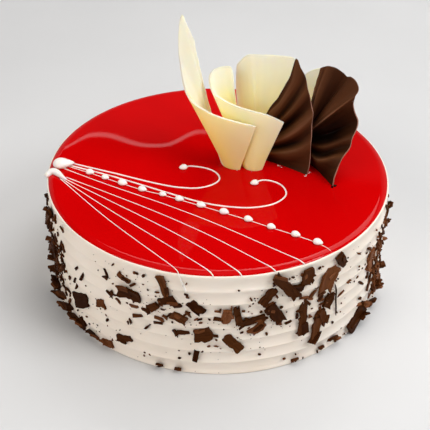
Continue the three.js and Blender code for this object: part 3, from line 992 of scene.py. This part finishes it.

# %% Light and dark of the folds
# Painted highlight and painted shade across each dark fan: high values are the lit crests of the folds, low
# values their shaded hollows; towards the outer edge they fade to a plain middle tone
NEAR_FOLD_LIGHT = [
    (0, 0.26), (0.16, 0.36), (0.2, 0.62), (0.24, 0.74), (0.27, 0.42), (0.31, 0.02), (0.34, 0.15),
    (0.37, 0.55), (0.4, 0.86), (0.44, 0.7), (0.48, 0.58), (0.52, 0.22), (0.565, 0.03), (0.6, 0.12),
    (0.64, 0.55), (0.68, 0.72), (0.71, 0.36), (0.745, 0.1), (0.79, 0.45), (0.85, 0.68), (0.95, 0.76),
    (1, 0.4),
]
FAR_FOLD_LIGHT = [
    (0, 0.3), (0.05, 0.15), (0.1, 0.25), (0.135, 0.42), (0.155, 0.78), (0.175, 0.1), (0.21, 0.12),
    (0.25, 0.6), (0.28, 0.1), (0.36, 0), (0.41, 0.1), (0.46, 0.3), (0.503, 0.5), (0.513, 0.98),
    (0.527, 0.75), (0.56, 0.66), (0.62, 0.68), (0.67, 0.52), (0.74, 0.4), (0.795, 0.2), (0.85, 0.34),
    (0.89, 0.6), (0.93, 0.8), (0.96, 0.5), (0.975, 0.92), (1, 0.85),
]
PLAIN_SHARE = 0.6


def fold_shade(u, v, tones, bow, plain):
    tone = float(np.interp(u + bow(u, v), *zip(*tones)))
    return tone + PLAIN_SHARE * (plain - tone) * ease(0.5, 1.05, v)


def near_shade(u, v):
    return fold_shade(u, v, NEAR_FOLD_LIGHT, near_bow, 0.62)


def far_shade(u, v):
    return fold_shade(u, v, FAR_FOLD_LIGHT, far_bow, 0.54)


DARK_SHEET = ("dark_chocolate", DARK, FAN_THICKNESS)
sheet(drawn_in, "dark_fan_near", "dark_fan_left", *DARK_SHEET, (140, 40), near_shade)
sheet(far, "dark_fan_far", "dark_fan_right", *DARK_SHEET, (200, 40), far_shade)

# %% [markdown]
# ### Flecks
# Where the thin edges were pushed into the glaze, tiny bits broke off and stayed there: white ones along
# the feet of the curls and the near fan, dark ones at the tip of the far fan. Small rough balls do.

# %% Flecks
FOOT_LINES = [((9, -2.5), (16, -2.8)), ((20, -2.5), (28, -2)), ((37, 3), (39, 2)), ((53, -9), (58, -2))]
TIP = ((68.5, -20.5), (71.5, -18.5))
FLECK_SPREAD = 0.7
chips = random.Random(3)


def flecks(lines, count, sizes, name, solid, slot, finish):
    bm = bmesh.new()
    for _ in range(count):
        (x0, y0), (x1, y1) = chips.choice(lines)
        share = chips.random()
        x = x0 + (x1 - x0) * share + chips.gauss(0, FLECK_SPREAD)
        y = y0 + (y1 - y0) * share + chips.gauss(0, FLECK_SPREAD)
        size = chips.uniform(*sizes)
        ball = bmesh.ops.create_icosphere(bm, subdivisions=1, radius=0.5)["verts"]
        for vert in ball:
            vert.co *= chips.uniform(0.8, 1.2)
        bmesh.ops.scale(bm, vec=(size, size * chips.uniform(0.5, 0.9), size * 0.6), verts=ball)
        bmesh.ops.translate(bm, verts=ball, vec=(x, y, glaze_height(x, y) + 0.2 * size))
    set_in_place(bm, name, [solid], slot, finish, 20)


flecks(FOOT_LINES, 22, (0.35, 0.9), "white_flecks", "glaze", "white_chocolate", ICING)
flecks([TIP], 9, (0.6, 1.7), "dark_flecks", "dark_fan_right", "dark_chocolate", DARK)

# %% [markdown]
# ## Chocolate shavings
# Flakes scraped from a bar were pressed into the cream by hand: broad ones on the front, drifts of small
# ones at the sides, pieces that stand out or lean at the foot, and splinters, slivers and crumbs among
# them. A repeatable row of draws places the larger ones just where the solid has its plates. Each flake
# is a small grid, stretched over uneven corners, torn at its rim, bent and given a wall. A tone on each
# flake tells dark pieces from milky ones at random, and carries painted light as well: it is made
# lighter on the right of the cake, towards the main lamp, and darker on the left.

# %% Draws and places
DRAW_FACTOR = 48271
DRAW_MODULUS = 2147483647
draw_state = 20261
looks = random.Random(7)


def draw(low, high):
    global draw_state
    draw_state = draw_state * DRAW_FACTOR % DRAW_MODULUS
    return low + (high - low) * draw_state / DRAW_MODULUS


def on_side(angle, height, turn, lift):
    around = math.radians(angle)
    outward = Vector((math.sin(around), -math.cos(around), 0))
    sideways = Vector((math.cos(around), math.sin(around), 0))
    stand = Matrix((sideways, (0, 0, 1), outward)).transposed().to_4x4()
    stand.translation = outward * CAKE_RADIUS + Vector((0, 0, height))
    lean = Matrix.Rotation(math.radians(lift), 4, "X")
    return stand @ lean @ Matrix.Rotation(math.radians(turn), 4, "Z")


print("front of the side:", on_side(0, 10, 0, 0).translation)

# %% Flake corners
FLAKE_CORNERS = [[-1, -1], [0.1, -1], [1, -0.8], [0.9, 1], [-1, 0.9]]
FLAKE_BEND = 0.14


def flake_corners(length, width):
    rows = []
    for along_it, across_it in FLAKE_CORNERS:
        x = along_it * length * draw(0.76, 1) / 2
        rows.append((x, across_it * width * draw(0.64, 1) / 2))
    return rows, draw(0, FLAKE_BEND) / length


def shard_corners(length, width):
    half, side = length / 2, width / 2
    first = (-half * looks.uniform(0.7, 1), -side * looks.uniform(0.4, 1))
    low = (0, -side)
    second = (half * looks.uniform(0.8, 1), -side * looks.uniform(0.2, 0.9))
    third = (half * looks.uniform(0.6, 1), side * looks.uniform(0.3, 1))
    return [first, low, second, third, (-half, side * looks.uniform(0.5, 1))]


print("corners of a flake:", len(FLAKE_CORNERS))

# %% Flake
FLAKE_SINK = 0.7
FLOOR_CLEARANCE = 0.4
NOTCH = (-0.06, 0.16)


def flake(bm, corners, bend, roll, place, tone, thickness, cells=(5, 3), torn=0.035):
    first, first_face = len(bm.verts), len(bm.faces)
    bmesh.ops.create_grid(bm, x_segments=cells[0], y_segments=cells[1], size=1)
    bm.verts.ensure_lookup_table()
    bm.faces.ensure_lookup_table()
    a, low, b, c, d = (Vector((*corner, 0)) for corner in corners)
    tear = torn * (b - a).length
    for vert in bm.verts[first:]:
        s, t = vert.co.x, vert.co.y
        foot = a.lerp(low, s + 1) if s < 0 else low.lerp(b, s)
        vert.co = foot.lerp(d.lerp(c, (s + 1) / 2), (t + 1) / 2)
        if max(abs(s), abs(t)) > 0.99:
            vert.co += Vector((looks.uniform(-tear, tear), looks.uniform(-tear, tear) * 0.6, 0))
            vert.co *= 1 - max(looks.gauss(*NOTCH), 0)
    grown = bmesh.ops.extrude_face_region(bm, geom=bm.faces[first_face:])["geom"]
    for item in grown:
        if isinstance(item, bmesh.types.BMVert):
            item.co.z += thickness * looks.uniform(0.75, 1)
    bm.verts.ensure_lookup_table()
    tones = bm.verts.layers.float["tone"]
    scrapes = bm.verts.layers.float_vector["scrape"]
    layer = looks.uniform(0, 40)
    for vert in bm.verts[first:]:
        vert[scrapes] = (vert.co.x, vert.co.y, layer + vert.co.z)
        vert.co.z += bend * vert.co.x**2 + roll * vert.co.y**2 - FLAKE_SINK
        vert.co = place @ vert.co
        vert.co.z = max(vert.co.z, FLOOR_CLEARANCE)
        vert[tones] = tone


print("a flake sinks", FLAKE_SINK, "mm into the cream")

# %% Places of broad flakes and drifts
BROAD_FLAKES = [
    [-49, 25, 16, 12, 25], [-29, 61, 10, 3.5, -20], [-27, 51, 16, 10, -5], [-16, 63, 15, 5.5, -72],
    [-15, 53, 12, 6, 20], [-19, 47, 7, 6, 40], [-30, 15, 13, 5.5, 18], [-6, 51, 13, 7, -45],
    [-11, 42, 11, 6.5, -30], [-4, 32, 13, 11, 15], [-6, 15, 9, 4.5, 80], [-39, 33, 8, 6, 15],
    [3, 45, 11, 8, 80], [6.5, 45, 15, 5, -82], [11, 41, 19, 5, 20], [12.5, 34.5, 12, 7, 40],
    [5.5, 24, 17, 8, -50], [18, 43, 18, 9, -62], [15.5, 57, 14, 7.5, 50], [21, 61, 27, 7, -55],
    [28, 65, 13, 8, 85], [36, 56, 18, 12, 70], [25, 58, 9, 5.5, -15], [37, 40, 11, 7, 60],
    [27.5, 35, 29, 6, 88], [33, 23, 25, 7, 80], [35.5, 28, 14, 5.5, -75], [41.5, 65, 12, 7, -60],
    [59, 47, 14, 5.5, 80], [54, 7, 22, 14, 20], [-50, 4, 13, 9, 60], [-37, 4, 9, 6, 10],
]
DRIFTS = [
    [-77, 36, 9, 30, 13], [70, 30, 10, 30, 12], [118, 32, 16, 26, 4], [160, 26, 18, 22, 4],
    [-155, 32, 18, 24, 4], [-112, 30, 16, 26, 4],
]
print("broad flakes:", len(BROAD_FLAKES), "drifts:", len(DRIFTS))

# %% Broad flakes and drifts
BROAD_LIFT = 9
DRIFT_LIFT = 30
SPLINTERED_LENGTH = 9


# Painted light: a flake is made lighter the further round to the right it sits, towards the main lamp, and
# darker on the left; on top of that its tone differs at random between dark and milky pieces
def tone_with_side_light(angle):
    return min(max(0.4 + angle / 400 + looks.uniform(-0.4, 0.4), 0), 1)


def splinters(bm, place, length, width, angle, count):
    for _ in range(count):
        size = length * looks.uniform(0.3, 0.62)
        along_it = looks.uniform(-0.32, 0.32) * length
        across_it = looks.uniform(-0.4, 0.4) * width
        shift = (along_it, across_it, looks.uniform(0.7, 1.3))
        spun = Matrix.Rotation(math.radians(looks.uniform(-50, 50)), 4, "Z")
        tipped = Matrix.Rotation(math.radians(looks.uniform(-32, 32)), 4, "X")
        spot = place @ Matrix.Translation(shift) @ spun @ tipped
        corners = shard_corners(size, min(size * looks.uniform(0.4, 0.7), width))
        bend = looks.uniform(0, 0.03)
        roll = looks.uniform(-0.03, 0.05)
        flake(bm, corners, bend, roll, spot, tone_with_side_light(angle), 1.1, (3, 2))


shavings = bmesh.new()
shavings.verts.layers.float.new("tone")
shavings.verts.layers.float_vector.new("scrape")
settled = []
for angle, height, length, width, turn in BROAD_FLAKES:
    corners, bend = flake_corners(length, width)
    place = on_side(angle, height, turn, draw(-BROAD_LIFT, BROAD_LIFT))
    roll = looks.uniform(-0.2, 0.6) / width
    flake(shavings, corners, bend, roll, place, tone_with_side_light(angle), 1.9, (7, 4))
    splinters(shavings, place, length, width, angle, int(length > SPLINTERED_LENGTH))
    settled.append((angle, height))
for angle, height, spread, rise, count in DRIFTS:
    for _ in range(count):
        at = angle + spread * (draw(-0.5, 0.5) + draw(-0.5, 0.5))
        level = height + rise * draw(-1, 1)
        length = draw(7, 14)
        width = length * draw(0.38, 0.68)
        corners, bend = flake_corners(length, width)
        place = on_side(at, level, draw(20, 160), draw(-DRIFT_LIFT, DRIFT_LIFT))
        flake(shavings, corners, bend, looks.uniform(0, 0.05), place, tone_with_side_light(at), 1.8)
        splinters(shavings, place, length, width, at, 1)
        settled.append((at, level))
print("flakes:", len(settled))

# %% Standing pieces
STANDING = [
    [-78, 33, 9, 5, 74], [-77, 20, 9, 6, 78], [-76, 13, 10, 6, 72], [-72, 4, 11, 7, 55],
    [-66, 6, 14, 10, 55], [-60, 5, 14, 10, 58], [-54, 5, 12, 9, 60], [-45, 4, 10, 7, 55],
    [-81, 52, 8, 4, 66], [-108, 66, 8, 4, 70], [-115, 66, 8, 4, 70], [78, 16, 9, 6, 70],
    [72, 8, 11, 7, 58], [60, 10, 13, 8, 52], [41, 6, 8, 5, 50],
]
LEANING = [
    [-74, 7, 9, 7, 60], [-69, 11, 12, 8, 50], [-63, 10, 11, 8, 55], [-57, 9, 12, 7, 60], [-51, 3, 9, 7, 60],
    [-43, 3, 8, 6, 50], [-38, 3, 8, 6, 45], [-18, 2.5, 8, 5, 40], [-12, 2.5, 6, 4, 40], [-80, 42, 7, 4, 70],
    [26, 3, 7, 5, 45], [36, 4, 7, 5, 45], [43, 3, 7, 5, 50], [57, 5, 12, 9, 55], [65, 4, 10, 7, 42],
    [69, 14, 10, 6, 50], [80, 34, 7, 4, 60], [82, 58, 10, 4, 30], [79, 48, 9, 4, 40],
]


def lean_piece(corners, bend, angle, height, turn, lift, length, width):
    place = on_side(angle, height, turn, lift)
    flake(shavings, corners, bend, looks.uniform(0, 0.05), place, tone_with_side_light(angle), 1.6, (4, 3))
    splinters(shavings, place, length, width, angle, 2)
    settled.append((angle, height))


for angle, height, length, width, lift in STANDING:
    corners, bend = flake_corners(length, width)
    lean_piece(corners, bend, angle, height, draw(55, 125), lift, length, width)
for angle, height, length, width, lift in LEANING:
    turn = looks.uniform(55, 125)
    lean_piece(shard_corners(length, width), 0.01, angle, height, turn, lift, length, width)
print("standing and leaning pieces:", len(STANDING) + len(LEANING))

# %% Slivers
SLIVER_DRIFTS = [
    [-66, 32, 9, 28, 100], [66, 34, 8, 28, 80], [30, 45, 18, 18, 40], [-18, 44, 22, 16, 44],
    [118, 32, 20, 28, 24], [170, 28, 24, 24, 24], [-112, 32, 20, 28, 30],
]
SLIVER_LEVELS = (2, 66)
LONG_SLIVER = [[39.2, 50], [40.2, 45], [40.6, 36], [41.2, 28], [41.4, 23.5]]
LONG_SLIVER_WIDTH = 0.95

for angle, height, spread, rise, count in SLIVER_DRIFTS:
    for _ in range(count):
        at = looks.gauss(angle, spread * 0.6)
        level = min(max(looks.gauss(height, rise * 0.55), SLIVER_LEVELS[0]), SLIVER_LEVELS[1])
        length = looks.uniform(2.5, 7.5)
        corners = shard_corners(length, length * looks.uniform(0.25, 0.5))
        turn = looks.gauss(90, 32) if abs(at) > 55 else looks.uniform(0, 180)
        place = on_side(at, level, turn, looks.uniform(-28, 28)) @ Matrix.Translation((0, 0, 0.2))
        flake(shavings, corners, looks.uniform(-0.01, 0.03), 0, place, tone_with_side_light(at), 1.2, (3, 1), 0.07)
points = [on_side(at, level, 0, 0).translation * 1.002 for at, level in LONG_SLIVER]
path = even_path(points_of(points), 1.5)
rope(shavings, path, tapered(len(path), LONG_SLIVER_WIDTH, 0.6, 0.6))
bmesh.ops.recalc_face_normals(shavings, faces=shavings.faces)
print("slivers:", sum(row[-1] for row in SLIVER_DRIFTS) + 1)
print("open edges:", sum(edge.is_boundary for edge in shavings.edges))

# %% [markdown]
# ### Shaving finish
# Scraped chocolate is dull, and its tone goes from bitter brown to a milky red-brown. The tone of each
# flake, with its painted side light, picks its place on one ramp. The blade left marks along each flake:
# a second attribute keeps every point's place on the flat flake, so a stretched noise on it runs with the
# flake, whichever way it lies.

# %% Shaving finish
SCRAPED_TONES = [
    (0, (0.025, 0.0056, 0.0006)), (0.4, (0.066, 0.019, 0.004)), (0.75, (0.142, 0.046, 0.0155)),
    (1, (0.25, 0.1, 0.046)),
]
MARK_SWING = 0.3


def shaving_finish():
    finish, tree, shader = new_finish("scraped_chocolate")
    fine = grain(tree, coordinates(tree), (500, 500, 900), 4)
    marks = grain(tree, painted(tree, "scrape", "Vector"), (0.12, 0.9, 1))
    swing = between(tree, marks, -MARK_SWING, MARK_SWING)
    shade = reckon(tree, "ADD", painted(tree, "tone"), swing)
    join(tree, shader, {"Base Color": ramp(tree, shade, SCRAPED_TONES)})
    join(tree, shader, {"Roughness": between(tree, fine, 0.4, 0.6)})
    join(tree, shader, {"Normal": relief(tree, marks, 0.25, 0.4), "Specular IOR Level": 0.03})
    return finish


SCRAPED = shaving_finish()
set_in_place(shavings, "chocolate_shavings", ["cake_body"], "dark_chocolate", SCRAPED, 35)

# %% [markdown]
# ### Crumbs
# Hundreds of specks fell around the flakes as they broke. One rough little ball of twenty faces is
# copied with arrays, which is far quicker than an operator for each, and every copy is stretched, turned
# and set against the cream near a flake.

# %% Crumbs
CRUMBS = 600
CRUMB_SPREAD = (6, 7)
CRUMB_LEVELS = (1.5, 67)
NEAR_BROAD_SHARE = 0.4

seed = bmesh.new()
bmesh.ops.create_icosphere(seed, subdivisions=1, radius=0.5)
BALL = np.array([vert.co[:] for vert in seed.verts])
BALL_FACES = np.array([[vert.index for vert in face.verts] for face in seed.faces])
seed.free()


def crumb_places(count):
    rows = []
    broad = settled[:len(BROAD_FLAKES)]
    for _ in range(count):
        angle, height = looks.choice(broad if looks.random() < NEAR_BROAD_SHARE else settled)
        at = looks.gauss(angle, CRUMB_SPREAD[0])
        level = looks.gauss(height, CRUMB_SPREAD[1])
        rows.append((at, min(max(level, CRUMB_LEVELS[0]), CRUMB_LEVELS[1])))
    return rows


def crumb_points(place, size):
    shape = BALL * np.array([[looks.uniform(0.75, 1.2)] * 3 for _ in BALL])
    shape = shape * size * np.array((1, looks.uniform(0.45, 0.8), looks.uniform(0.4, 0.6)))
    return [(place @ Vector(point))[:] for point in shape]


print("one crumb:", len(BALL), "points,", len(BALL_FACES), "faces")

# %% Scatter the crumbs
points, faces, tones = [], [], []
for angle, height in crumb_places(CRUMBS):
    place = on_side(angle, height, looks.uniform(0, 180), looks.uniform(-15, 15))
    size = 0.65 + 2.3 * looks.random() ** 2.6
    faces.append(BALL_FACES + len(points))
    points += crumb_points(place, size)
    # The crumbs get the flakes' tone, with the same painted side light
    tones += [tone_with_side_light(angle)] * len(BALL)
mesh = bpy.data.meshes.new("crumb_points")
mesh.from_pydata(points, [], np.concatenate(faces).tolist())
crumbs = bmesh.new()
crumbs.from_mesh(mesh)
layer = crumbs.verts.layers.float.new("tone")
for vert, tone in zip(crumbs.verts, tones):
    vert[layer] = tone
bpy.data.meshes.remove(mesh)
set_in_place(crumbs, "chocolate_crumbs", ["cake_body"], "dark_chocolate", SCRAPED, 20)
